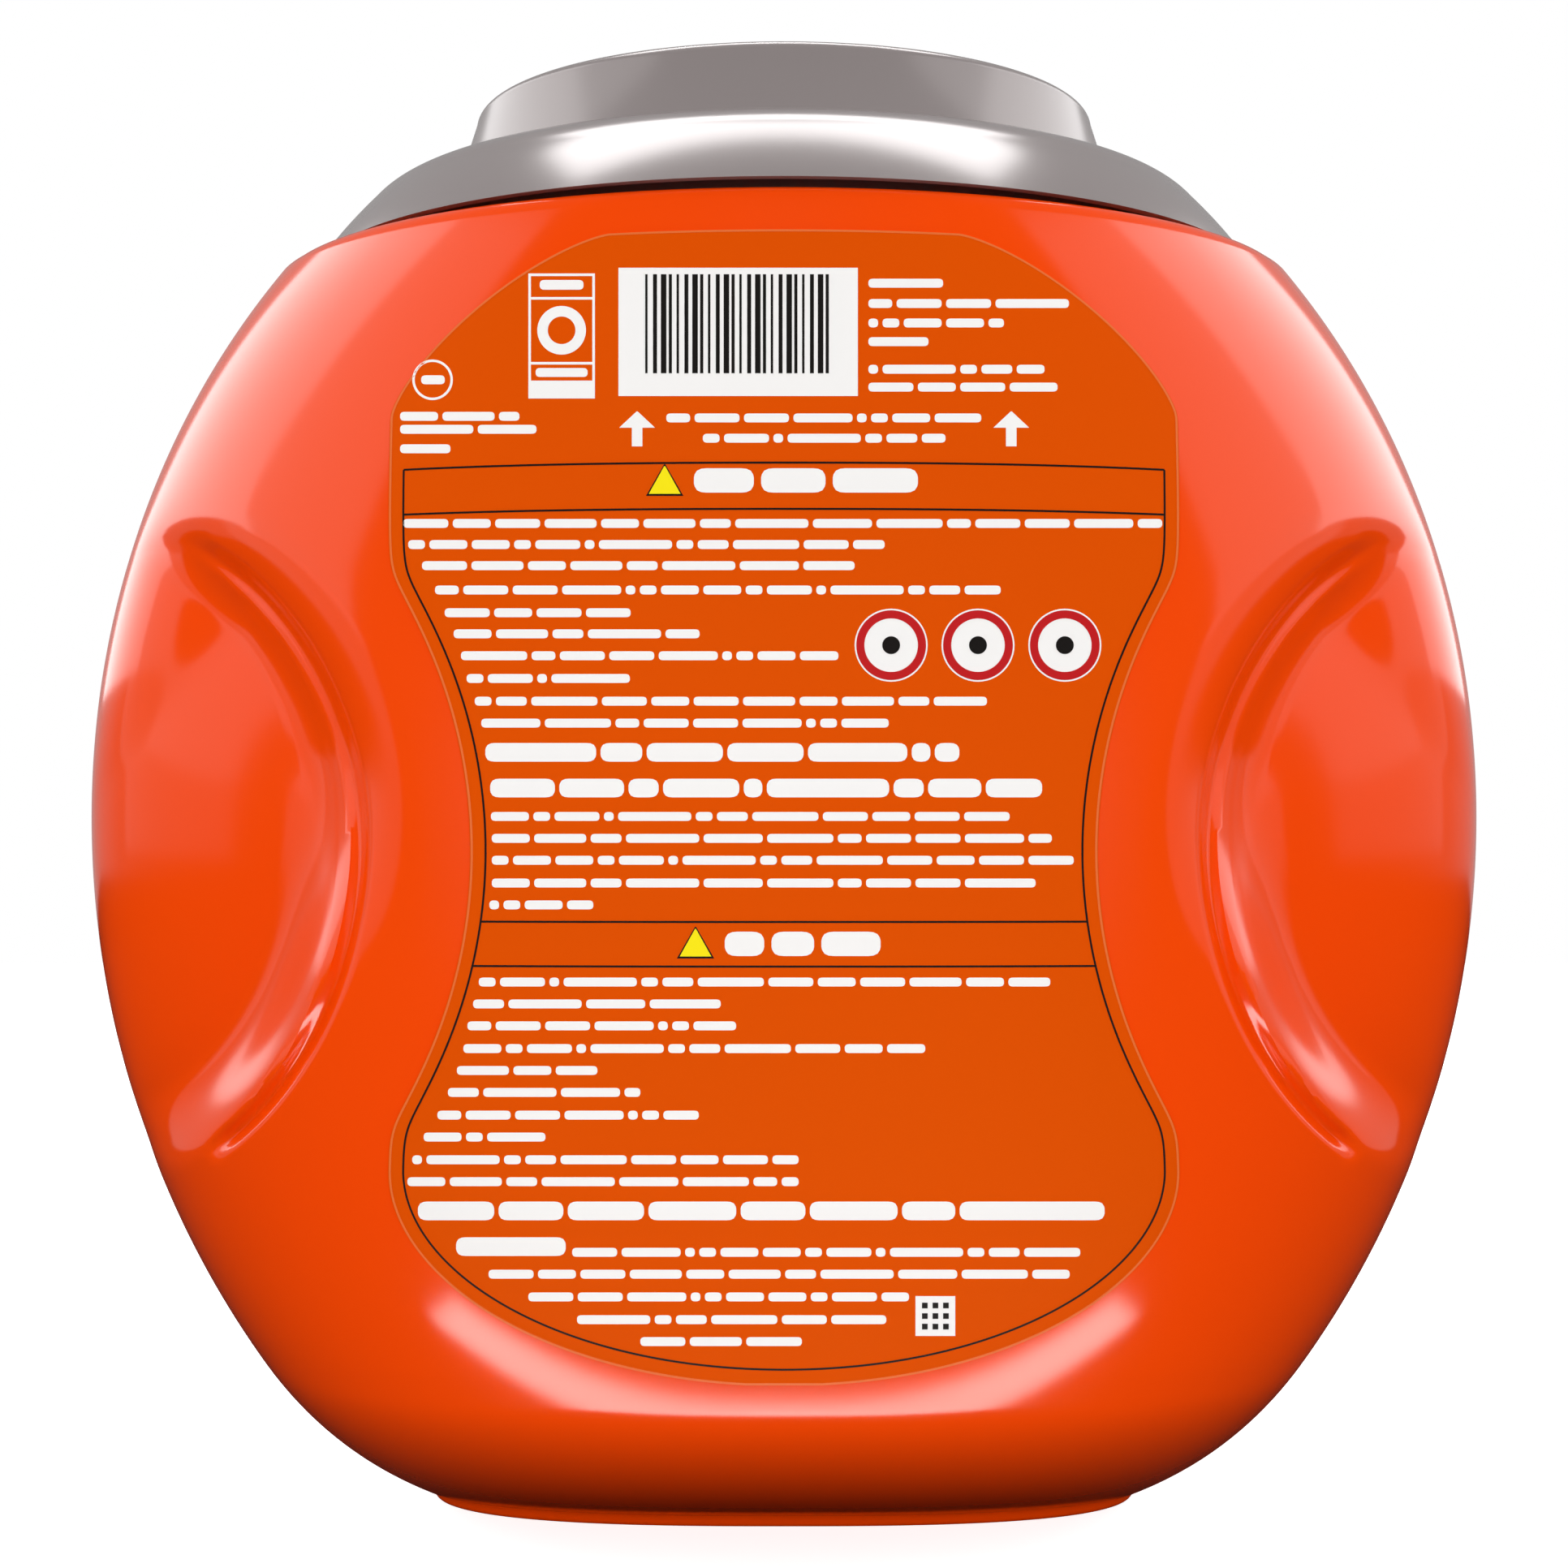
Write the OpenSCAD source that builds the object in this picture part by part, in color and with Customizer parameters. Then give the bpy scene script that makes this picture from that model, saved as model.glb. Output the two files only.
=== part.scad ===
// Laundry pod tub: a blow-moulded waisted tub with thumb grips and a threaded neck,
// closed by a push-and-turn lid of an outer shell, an inner threaded cap and a seal ring.
// Millimetres, +Z up, origin under the middle of the foot, labelled back face towards -Y.

/* [Tub] */
// Widest width of the tub
tub_w = 256; // [240:1:300]
// Depth of the tub at its widest level
tub_d = 181; // [176:1:210]
// Height of the widest level
waist_z = 129; // [110:1:150]
// Height of the ledge that the lid closes on
ledge_z = 228; // [210:1:260]
// Width of the body at the ledge
ledge_w = 189.6; // [182:0.2:210]
// Depth of the body at the ledge
ledge_d = 174; // [168:1:174]
// Rounding of the edge of the ledge
ledge_edge = 1; // [0.6:0.1:1.4]
// Wall thickness of the body
wall = 1.6; // [1.2:0.1:2.4]
// Squareness of the body's plan, where 2 is an ellipse
plan_power = 2.7; // [2.2:0.1:3]

/* [Base and foot] */
// Height at which the faces turn under towards the foot
keel_z = 31; // [26:1:40]
// Slope of the underside where it leaves the foot, in degrees
under_angle = 15; // [10:1:20]
// Width of the body just above the foot
base_w = 137.8; // [120:0.2:150]
// Depth of the body just above the foot
base_d = 73.8; // [66:0.2:84]
// Height of the foot
foot_h = 2.6; // [2:0.1:4]
// How far the foot is set in from the body above it
foot_step = 2.6; // [1.6:0.1:3.6]
// Thickness of the foot's standing ring
foot_t = 4; // [3:0.1:6]
// Rounding of the foot's lower edge
foot_round = 1; // [0.5:0.1:1.4]
// How far the middle of the base is pushed up
push_up = 3; // [1:0.1:6]

/* [Grips] */
// Radius of the crease round each grip
grip_r = 60.4; // [54:0.2:62]
// How far the middle of the crease circle lies outside the body's side
grip_out = 2; // [0:0.5:5]
// Height of the middle of the grips
grip_z = 120.8; // [110:0.2:130]
// Depth of the grip's floor
grip_depth = 15; // [12:0.5:18]
// Depth at the crease, where the rounded ridge ends
grip_step = 8.5; // [6:0.5:11]
// Width of the rounded ridge that falls into the crease
grip_ridge = 13; // [10:0.5:16]
// Width of the roll from the crease down to the floor
grip_roll = 9; // [6:0.5:12]
// Depth of the narrow groove along the crease
groove_depth = 1.6; // [0.8:0.1:2]
// Width of the groove to either side of the crease
groove_w = 3; // [2:0.1:4]
// Angle above level at which the crease runs out
grip_high = 66; // [60:1:70]
// Angle below level at which the crease runs out
grip_low = 58; // [52:1:62]
// Angle over which the grip runs out at its top
high_fade = 26; // [18:1:32]
// Height over which the floor rises to the crease's lower end
low_rise = 38; // [30:1:44]
// Angle over which the groove ends
groove_fade = 8; // [5:1:12]
// Share of the way from the crease to the side where the floor starts to rise
rise_start = 0.15; // [0.05:0.05:0.3]
// Share of the way from the crease to the side where the floor has risen
rise_end = 0.85; // [0.75:0.05:0.95]

/* [Neck and thread] */
// Outer radius of the neck
neck_r = 71.5; // [69:0.1:72.5]
// Wall thickness of the neck
neck_wall = 2.5; // [2:0.1:3.5]
// Height of the neck above the ledge
neck_h = 8.2; // [7.6:0.1:9]
// Rounding of the neck's rim
neck_round = 0.5; // [0.2:0.1:0.8]
// Number of thread starts
starts = 6; // [4:1:6]
// Rise of the thread in one turn
lead = 24; // [20:1:26]
// Depth of the thread
thread_d = 1.6; // [1.2:0.1:1.8]
// Height of a thread lug on the neck
neck_lug_h = 1.5; // [1.2:0.1:1.6]
// Length of a thread lug on the neck, in degrees
neck_lug_arc = 36; // [30:1:40]
// Height of a thread lug in the cap
cap_lug_h = 1.1; // [0.9:0.1:1.2]
// Length of a thread lug in the cap, in degrees
cap_lug_arc = 16; // [12:1:20]
// Axial clearance between the lugs
lug_clear = 0.15; // [0.1:0.05:0.2]
// Radial clearance between a lug and the wall opposite it
thread_clear = 0.4; // [0.3:0.05:0.6]

/* [Seal and inner cap] */
// Thickness of the seal ring
seal_t = 1; // [0.8:0.1:1.2]
// Overhang of the seal ring over each side of the neck's rim
seal_lap = 0.8; // [0.4:0.1:1]
// Gap above and below the seal ring
seal_gap = 0.05; // [0.05:0.05:0.1]
// Wall of the inner cap's skirt
cap_wall = 1.5; // [1.2:0.1:1.6]
// Thickness of the inner cap's plate
plate_t = 1.5; // [1.2:0.1:1.6]
// Chamfer round the inner cap's plate
plate_bevel = 1.2; // [1:0.1:1.4]
// Number of drive teeth
teeth = 18; // [12:1:24]
// Width of a drive tooth
tooth_w = 3; // [2:0.1:4]
// Height of a drive tooth on the cap's plate
tooth_h = 2.2; // [1.8:0.1:2.6]

/* [Lid shell] */
// How far the lid shell is pushed down before it turns the cap
push_travel = 1; // [0.8:0.1:1.2]
// Gap left between the ledge and the pushed lid
push_clear = 0.2; // [0.2:0.05:0.4]
// Radius of the lid at its lower edge
lid_r = 88.4; // [87.6:0.1:89.4]
// Wall thickness of the lid shell
lid_wall = 1.6; // [1.4:0.1:1.8]
// Radius of the dome's shoulder, between its steep skirt and its shallow top
shoulder_r = 76.4; // [76:0.1:77.4]
// Height of the dome's shoulder above the ledge
shoulder_h = 15.4; // [15:0.1:16.4]
// Length of the shoulder's rounding to either side
shoulder_round = 4; // [3:0.2:5]
// Height of the dome's upper edge above the ledge
dome_h = 18.7; // [18.4:0.1:20]
// Radius of the grip disc where it stands on the dome
disc_foot_r = 62; // [61:0.1:62.6]
// Radius of the grip disc at its top
disc_top_r = 58.4; // [57.6:0.1:59.4]
// Height of the grip disc
disc_h = 13.3; // [10:0.1:16]
// Rounding of the grip disc's rim
disc_round = 2; // [1.6:0.1:2.6]
// Radial running clearance between the inner cap and the shell
turn_clear = 0.4; // [0.3:0.05:0.5]
// Thickness of the ring inside the shell that holds the inner cap
ring_t = 1.3; // [1:0.1:1.6]
// Height of the bead that snaps under the inner cap
bead_h = 0.8; // [0.6:0.1:0.9]
// How far the bead reaches under the inner cap
bead_lap = 0.6; // [0.4:0.1:0.7]
// Clearance between the bead and the inner cap
bead_clear = 0.1; // [0.05:0.05:0.15]
// Clearance above the drive teeth at rest
tooth_clear = 0.3; // [0.2:0.05:0.35]

/* [Label] */
// Widest width of the label
label_w = 129; // [120:0.5:132]
// Width of the label at its waist
label_waist_w = 101; // [92:0.5:104]
// Height of the label's lower edge above the ground
label_low = 35.2; // [33:0.2:45]
// Height of the label's upper edge above the ground
label_top = 220.6; // [200:0.2:222]
// Width of the label's straight upper edge
label_top_w = 57; // [40:1:70]
// Height of the label's waist
label_waist_z = 120; // [116:1:124]
// Radius of the arcs that the grips cut from the label's sides
label_waist_r = 100; // [90:1:110]
// Softness of the corners where those arcs end
label_soft = 3; // [1:0.5:5]
// Height of the shoulders at which the label narrows to the top
label_shoulder_z = 192; // [184:1:196]
// Height at which the label narrows to the bottom
label_hip_z = 69; // [62:1:74]
// Thickness of the label
label_t = 0.2; // [0.1:0.05:0.4]
// Film of adhesive under the label
label_gap = 0.1; // [0.1:0.05:0.2]

/* [Hidden] */
$fn = 96;

// Columns in a quarter of the body: across the face, down the ridge, over the grip's floor
face_cols = 6;
ridge_cols = 4;
floor_cols = 10;
quarter = face_cols + ridge_cols + floor_cols;
keel_rows = 7;
outer_rows = 25;
inner_rows = 16;
label_rows = 28;
label_cols = 16;
skirt_steps = 3;
shoulder_steps = 6;
round_steps = 4;
lug_steps = 4;
trim = 1;

neck_top = ledge_z + neck_h;
neck_bore_r = neck_r - neck_wall;
hole_r = neck_r - neck_wall / 2;
lug_tip_r = neck_r + thread_d;
cap_in_r = lug_tip_r + thread_clear;
cap_out_r = cap_in_r + cap_wall;
lid_low = ledge_z + push_travel + push_clear;
cap_low = lid_low + bead_h + bead_clear;
seal_low = neck_top + seal_gap;
plate_low = seal_low + seal_t + seal_gap;
plate_top = plate_low + plate_t;
neck_lug_low = cap_low + cap_lug_h + lug_clear;
ring_in_r = cap_out_r + turn_clear;
dome_top = ledge_z + dome_h;
disc_top = dome_top + disc_h;

function limit(v, low, high) = min(max(v, low), high);
function ease(u) = let (c = limit(u, 0, 1)) c * c * (3 - 2 * c);

// Half width of the body: two quarter ellipses that meet at the widest level
function half_w(z) = let (
    up = z > waist_z,
    end_w = up ? ledge_w : base_w,
    reach = up ? ledge_z - waist_z : waist_z - foot_h,
    loss = 1 - pow(end_w / tub_w, 2)
) tub_w / 2 * sqrt(1 - loss * pow((z - waist_z) / reach, 2));

// Half depth of the faces above the keel, bowed by the difference between waist and ledge
function face_d(z) = tub_d / 2
    - (tub_d - ledge_d) / 2 * pow((z - waist_z) / (ledge_z - waist_z), 2);

// Half depth at any level: below the keel it follows a parabola that leaves the foot at
// under_angle and meets the face upright
function half_d(z) = z >= keel_z ? face_d(z) : let (
    keel_d = face_d(keel_z),
    rise = (keel_d - base_d / 2) * tan(under_angle),
    bend = keel_z - foot_h - 2 * rise,
    drop = max(z - foot_h, 0),
    t = 2 * drop / (2 * rise + sqrt(4 * rise * rise + 4 * bend * drop))
) keel_d - (keel_d - base_d / 2) * pow(1 - t, 2);

// Squareness falls to a plain ellipse at the ledge
function power(z) = 2 + (plan_power - 2) * (1 - pow(limit(z / ledge_z, 0, 1), 4));

// The crease of a grip is a circle seen from the face; off widens it for the inner skin
function crease_r(off) = grip_r + off;
function crease_level(z, off) = limit(z,
    grip_z - crease_r(off) * sin(grip_low), grip_z + crease_r(off) * sin(grip_high));
function crease_x(z, off) = tub_w / 2 + grip_out
    - sqrt(pow(crease_r(off), 2) - pow(crease_level(z, off) - grip_z, 2));

// Depth of a grip at a point of the face: a cubic ridge down to the crease, a quarter sine
// wave on to the floor, and a groove along the crease. way is 0 at the crease, 1 at the side
function grip_d(x, z, way, off) = let (
    in = tub_w / 2 + grip_out - x,
    up = z - grip_z,
    u = crease_r(off) - norm([in, up]),
    angle = atan2(up, in),
    fall = u < -grip_ridge ? 0
        : u < 0 ? grip_step * pow(1 + u / grip_ridge, 3)
        : u < grip_roll ? grip_step + (grip_depth - grip_step) * sin(90 * u / grip_roll)
        : grip_depth,
    groove = groove_depth * max(0, 1 - abs(u) / groove_w),
    high = ease((grip_high + high_fade / 2 - angle) / high_fade),
    low = ease((up + crease_r(off) * sin(grip_low)) / low_rise),
    rise = ease((rise_end - way) / (rise_end - rise_start)),
    end = ease((angle + grip_low) / groove_fade)
) high * rise * (low * fall + end * groove);

// Turn angle in the superellipse of the point that lies x from the middle
function turn_at(x, z, off) = asin(pow(limit(x / (half_w(z) - off), 0, 0.97), power(z) / 2));

// Turn angles of a quarter's columns, so that one column always follows the crease
function turns(z, off) = let (
    level = crease_level(z, off),
    x = crease_x(z, off),
    first = turn_at(x - grip_ridge, level, off),
    crease = turn_at(x, level, off)
) concat(
    [for (k = [0:face_cols]) first * k / face_cols],
    [for (k = [1:ridge_cols]) turn_at(x - grip_ridge * pow(1 - k / ridge_cols, 1.7), level, off)],
    [for (k = [1:floor_cols]) crease + (90 - crease) * pow(k / floor_cols, 1.3)]
);

// One quarter of a level of the body, from the middle of the face to the side
function quarter_points(z, off) = let (
    angle = turns(z, off),
    n = power(z),
    a = half_w(z) - off,
    b = half_d(z) - off,
    crease = angle[face_cols + ridge_cols]
) [for (k = [0:quarter]) let (
    x = a * pow(sin(angle[k]), 2 / n),
    way = max(0, (angle[k] - crease) / (90 - crease))
) [x, b * pow(max(cos(angle[k]), 0), 2 / n) - grip_d(x, z, way, off)]];

// A whole level from its quarter, counter-clockwise from the middle of the back face
function whole(q, z) = concat(
    [for (k = [0:quarter - 1]) [q[k].x, -q[k].y, z]],
    [for (k = [quarter:-1:1]) [q[k].x, q[k].y, z]],
    [for (k = [0:quarter - 1]) [-q[k].x, q[k].y, z]],
    [for (k = [quarter:-1:1]) [-q[k].x, -q[k].y, z]]
);
function body_ring(z, off) = whole(quarter_points(z, off), z);
function base_ring(inset, share, z) = let (q = quarter_points(foot_h, inset))
    whole([for (p = q) p * share], z);
function neck_ring(r, z) = let (angle = turns(ledge_z, 0))
    whole([for (t = angle) [r * sin(t), r * cos(t)]], z);

// Solid through a list of closed rings, with flat ends
module loft(rings) {
    n = len(rings[0]);
    m = len(rings);
    polyhedron(
        points = [for (ring = rings) each ring],
        faces = concat(
            [[for (i = [0:n - 1]) i]],
            [[for (i = [n - 1:-1:0]) (m - 1) * n + i]],
            [for (j = [0:m - 2], i = [0:n - 1]) let (k = (i + 1) % n)
                [j * n + i, (j + 1) * n + i, (j + 1) * n + k]],
            [for (j = [0:m - 2], i = [0:n - 1]) let (k = (i + 1) % n)
                [j * n + i, (j + 1) * n + k, j * n + k]]
        ),
        convexity = 6
    );
}

// Helical lug between two radii, rising counter-clockwise with the thread's lead
module thread_lug(root_r, tip_r, low, height, arc) {
    slope = height * 0.2;
    section = [[root_r, 0], [root_r, height], [tip_r, height - slope], [tip_r, slope]];
    order = tip_r > root_r ? [0, 1, 2, 3] : [3, 2, 1, 0];
    loft([for (j = [0:lug_steps]) let (a = arc * j / lug_steps)
        [for (i = order) [
            section[i].x * cos(a),
            section[i].x * sin(a),
            low + lead * a / 360 + section[i].y
        ]]]);
}

// Hollow body with its foot, from the base outwards, up the skin, in over the ledge and
// down the inner skin to the inner floor
module tub_body() {
    foot_in = foot_step + foot_t;
    arc_out = foot_round * (1 - cos(45));
    edge_out = ledge_edge * (1 - cos(45));
    top_in = ledge_z - wall;
    keel_levels = [for (k = [1:keel_rows]) foot_h + (keel_z - foot_h) * pow(k / keel_rows, 1.4)];
    outer_span = ledge_z - ledge_edge - keel_z;
    outer_levels = [for (k = [1:outer_rows]) keel_z + outer_span * k / outer_rows];
    floor_z = foot_h + wall;
    inner_span = top_in - floor_z;
    inner_levels = [for (k = [0:inner_rows]) top_in - inner_span * k / inner_rows];
    loft(concat(
        [base_ring(foot_in, 0.35, foot_h + push_up)],
        [base_ring(foot_in, 0.75, foot_h + push_up * 0.7)],
        [base_ring(foot_in, 1, foot_h)],
        [base_ring(foot_in, 1, 0)],
        [base_ring(foot_step + foot_round, 1, 0)],
        [base_ring(foot_step + arc_out, 1, arc_out)],
        [base_ring(foot_step, 1, foot_round)],
        [base_ring(foot_step, 1, foot_h - foot_step * 0.3)],
        [base_ring(foot_step * 0.6, 1, foot_h)],
        [for (z = keel_levels) body_ring(z, 0)],
        [for (z = outer_levels) body_ring(z, 0)],
        [body_ring(ledge_z - edge_out, edge_out)],
        [whole(quarter_points(ledge_z, ledge_edge), ledge_z)],
        [neck_ring(hole_r, ledge_z)],
        [neck_ring(hole_r, top_in)],
        [for (z = inner_levels) body_ring(z, wall)],
        [base_ring(wall, 0.75, floor_z + push_up * 0.7)],
        [base_ring(wall, 0.35, floor_z + push_up)]
    ));
}

module neck() {
    low = ledge_z - wall - neck_wall / 2;
    rotate_extrude()
        polygon([
            [neck_bore_r, low],
            [neck_r, low],
            [neck_r, neck_top - neck_round],
            [neck_r - neck_round, neck_top],
            [neck_bore_r + neck_round, neck_top],
            [neck_bore_r, neck_top - neck_round]
        ]);
    for (k = [0:starts - 1])
        rotate(360 * k / starts)
            thread_lug(neck_r - neck_wall / 3, lug_tip_r, neck_lug_low, neck_lug_h, neck_lug_arc);
}

module tub() {
    color([1, 0.3, 0])
        union() {
            tub_body();
            neck();
        }
}

// Half width of the label: rounded top, sides cut in by arcs beside the grips, round bottom
function label_half(z) = let (
    half = label_w / 2,
    cut = half - label_waist_w / 2,
    mid = limit(z - label_waist_z, -label_waist_r, label_waist_r),
    over = cut - label_waist_r + sqrt(label_waist_r * label_waist_r - mid * mid),
    side = half - (over + sqrt(over * over + label_soft * label_soft)) / 2,
    up = limit((z - label_shoulder_z) / (label_top - label_shoulder_z), 0, 1),
    down = limit((label_hip_z - z) / (label_hip_z - label_low), 0, 1)
) up > 0 ? label_top_w / 2 + (side - label_top_w / 2) * pow(1 - pow(up, 1.4), 1 / 1.4)
    : side * sqrt(1 - down * down);

// Depth of the plain face in front of the middle plane
function face_at(x, z) = half_d(z) * pow(1 - pow(abs(x) / half_w(z), power(z)), 1 / power(z));

// One edge-to-edge row of the label, at a distance outside the face
function label_strip(z, out, dir) = [for (i = [0:label_cols]) let (
    x = dir * label_half(z) * (2 * i / label_cols - 1)
) [x, -face_at(x, z) - out, z]];

// The label is a thin skin that follows the back face, with closer rows at its round ends,
// trimmed level along its upper edge
module back_label() {
    reach = label_top + trim - label_low;
    turn = [for (j = [0:label_rows]) 180 * (j + 1) / (label_rows + 1)];
    color([0.89, 0.32, 0])
        intersection() {
            loft([for (a = turn) let (z = label_low + reach * (1 - cos(a)) / 2)
                concat(label_strip(z, label_gap + label_t, 1), label_strip(z, label_gap, -1))]);
            translate([-label_w, -tub_d, label_low])
                cube([2 * label_w, tub_d, label_top - label_low]);
        }
}

module seal_ring() {
    color([0.93, 0.93, 0.9])
        translate([0, 0, seal_low])
            difference() {
                cylinder(r = neck_r + seal_lap, h = seal_t);
                translate([0, 0, -seal_t])
                    cylinder(r = neck_bore_r - seal_lap, h = 3 * seal_t);
            }
}

// Radius and height along the dome: a steep skirt, a parabola round the shoulder, a shallow top
function dome_rim() = [lid_r, lid_low];
function dome_corner() = [shoulder_r, ledge_z + shoulder_h];
function dome_foot() = [disc_foot_r, dome_top];
function toward(from, to, run) = from + (to - from) * run / norm(to - from);
function dome_line() = let (
    low = toward(dome_corner(), dome_rim(), shoulder_round),
    high = toward(dome_corner(), dome_foot(), shoulder_round)
) concat(
    [for (k = [0:skirt_steps - 1]) dome_rim() + (low - dome_rim()) * k / skirt_steps],
    [for (k = [0:shoulder_steps]) let (t = k / shoulder_steps)
        (1 - t) * (1 - t) * low + 2 * t * (1 - t) * dome_corner() + t * t * high],
    [dome_foot()]
);
// The inner skin lies a wall below the outer one, square to it
function dome_inner() = let (p = dome_line(), last = len(p) - 1) [for (k = [0:last]) let (
    d = p[min(k + 1, last)] - p[max(k - 1, 0)]
) p[k] + lid_wall * [d.y, -d.x] / norm(d) * -1];
// Height of the dome's outer skin at a radius
function dome_z(r) = lookup(r, dome_line());

// Drive teeth stand between the dome's upper edge and the ring
tooth_in_r = disc_foot_r + lid_wall;
tooth_out_r = ring_in_r - plate_bevel - 3 * lid_wall;

module inner_cap() {
    color([0.85, 0.85, 0.83]) {
        rotate_extrude()
            polygon([
                [0, plate_low],
                [cap_in_r, plate_low],
                [cap_in_r, cap_low],
                [cap_out_r, cap_low],
                [cap_out_r, plate_top - plate_bevel],
                [cap_out_r - plate_bevel, plate_top],
                [0, plate_top]
            ]);
        for (k = [0:teeth - 1])
            rotate(360 * k / teeth)
                translate([tooth_in_r, -tooth_w / 2, plate_top - plate_t / 2])
                    cube([tooth_out_r - tooth_in_r, tooth_w, plate_t / 2 + tooth_h]);
        for (k = [0:starts - 1])
            rotate(360 * k / starts)
                thread_lug(cap_in_r + cap_wall / 3, neck_r + thread_clear, cap_low, cap_lug_h,
                    cap_lug_arc);
    }
}

module lid_shell() {
    rim = [for (k = [0:round_steps]) let (a = 90 - 90 * k / round_steps)
        [disc_top_r - disc_round + disc_round * cos(a), disc_top - disc_round + disc_round * sin(a)]];
    rib_low = plate_top + tooth_h + tooth_clear;
    ring_top = dome_z(ring_in_r + ring_t / 2) - lid_wall / 2;
    color([0.67, 0.65, 0.65]) {
        rotate_extrude()
            intersection() {
                polygon(concat(
                    [[0, disc_top]],
                    rim,
                    [for (k = [len(dome_line()) - 1:-1:0]) dome_line()[k]],
                    dome_inner(),
                    [[disc_foot_r - lid_wall, dome_top],
                     [disc_top_r - lid_wall, disc_top - disc_round],
                     [disc_top_r - disc_round, disc_top - lid_wall],
                     [0, disc_top - lid_wall]]
                ));
                translate([0, lid_low])
                    square([2 * lid_r, disc_top]);
            }
        rotate_extrude()
            polygon([
                [cap_out_r - bead_lap, lid_low],
                [ring_in_r + ring_t, lid_low],
                [ring_in_r + ring_t, ring_top],
                [ring_in_r, ring_top],
                [ring_in_r, lid_low + bead_h],
                [cap_out_r - bead_lap, lid_low + bead_h]
            ]);
        for (k = [0:teeth - 1])
            rotate(360 * (k + 0.5) / teeth)
                rotate([90, 0, 0])
                    translate([0, 0, -tooth_w / 2])
                        linear_extrude(height = tooth_w)
                            polygon([
                                [tooth_in_r, rib_low],
                                [tooth_out_r, rib_low],
                                [tooth_out_r, dome_z(tooth_out_r) - lid_wall / 2],
                                [tooth_in_r, dome_z(tooth_in_r) - lid_wall / 2]
                            ]);
    }
}

tub();
back_label();
seal_ring();
inner_cap();
lid_shell();
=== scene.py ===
# Laundry pod tub seen from its labelled back: glossy waisted tub, printed label, silver twist lid.
# Metres, +Z up, the label towards -Y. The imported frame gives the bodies; the skins here are finer.
import bpy
import numpy as np
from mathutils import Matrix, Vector


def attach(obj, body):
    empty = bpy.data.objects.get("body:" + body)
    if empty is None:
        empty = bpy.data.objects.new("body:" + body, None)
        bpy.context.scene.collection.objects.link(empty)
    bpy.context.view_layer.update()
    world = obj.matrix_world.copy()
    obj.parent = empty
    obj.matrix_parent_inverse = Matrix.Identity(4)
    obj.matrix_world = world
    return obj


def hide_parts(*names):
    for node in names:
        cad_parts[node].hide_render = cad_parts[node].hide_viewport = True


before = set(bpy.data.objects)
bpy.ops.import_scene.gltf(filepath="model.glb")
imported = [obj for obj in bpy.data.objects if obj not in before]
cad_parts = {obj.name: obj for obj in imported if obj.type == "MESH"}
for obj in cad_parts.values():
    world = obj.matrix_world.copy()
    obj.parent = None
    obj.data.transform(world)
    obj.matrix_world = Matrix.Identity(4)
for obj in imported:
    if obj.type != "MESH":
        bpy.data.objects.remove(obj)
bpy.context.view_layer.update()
mm = 0.001

# Camera: level, looking along +Y at the label
view = {
    "imagePx": 1932,
    "focalPx": 3500,
    "horizonPx": 1070,
    "middlePx": 966,
    "distance": 543.7 * mm,  # from the tub's axis
    "height": 118.2 * mm,
    "sensorWidth": 36.0,
}


def makeCamera():
    data = bpy.data.cameras.new("camera")
    data.sensor_width = view["sensorWidth"]
    data.lens = view["focalPx"] / view["imagePx"] * view["sensorWidth"]
    data.shift_y = (view["horizonPx"] - view["middlePx"]) / view["imagePx"]
    data.clip_start = 0.01
    camera = bpy.data.objects.new("camera", data)
    camera.location = (0, -view["distance"], view["height"])
    camera.rotation_euler = (np.pi / 2, 0, 0)
    bpy.context.collection.objects.link(camera)
    bpy.context.scene.camera = camera


makeCamera()
bpy.context.scene.view_settings.view_transform = "Standard"
print("camera placed")


# Mesh helpers: every surface is a grid of points, row after row

def gridFaces(rows, cols, wrap):
    # quads between neighbouring rows and columns, the last column joined to the first if it wraps
    j, i = np.meshgrid(np.arange(rows - 1), np.arange(cols if wrap else cols - 1), indexing="ij")
    k = (i + 1) % cols
    quads = np.stack([j * cols + i, j * cols + k, (j + 1) * cols + k, (j + 1) * cols + i], axis=-1)
    return quads.reshape(-1, 4)


def makeMesh(name, verts, faces, material, body, smooth=True, sharpDeg=35):
    mesh = bpy.data.meshes.new(name)
    mesh.from_pydata(np.asarray(verts).tolist(), [], [list(map(int, f)) for f in faces])
    mesh.materials.append(material)
    if smooth:
        mesh.shade_smooth()
        mesh.set_sharp_from_angle(angle=np.radians(sharpDeg))
    piece = bpy.data.objects.new(name, mesh)
    bpy.context.collection.objects.link(piece)
    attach(piece, body)
    return piece


def closedLoft(rings):
    # a closed skin through rings of one length, the first and last closed by a fan to their middle
    rings = np.asarray(rings)
    rows, cols, _ = rings.shape
    verts = np.concatenate([rings.reshape(-1, 3), [rings[0].mean(axis=0)], [rings[-1].mean(axis=0)]])
    i = np.arange(cols)
    k = (i + 1) % cols
    low = np.stack([np.full(cols, rows * cols), k, i], axis=-1)
    top = np.stack([np.full(cols, rows * cols + 1), (rows - 1) * cols + i, (rows - 1) * cols + k], axis=-1)
    return verts, gridFaces(rows, cols, True).tolist() + low.tolist() + top.tolist()


def revolve(profile, cols):
    # a closed profile of radius and height turned about Z, outside counter-clockwise
    profile = np.asarray(profile)
    angle = np.linspace(0, 2 * np.pi, cols, endpoint=False)
    rings = np.stack([
        profile[:, 0, None] * np.cos(angle),
        profile[:, 0, None] * np.sin(angle),
        np.repeat(profile[:, 1, None], cols, axis=1),
    ], axis=-1)
    return rings


def ease(u):
    u = np.clip(u, 0, 1)
    return u * u * (3 - 2 * u)


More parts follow.
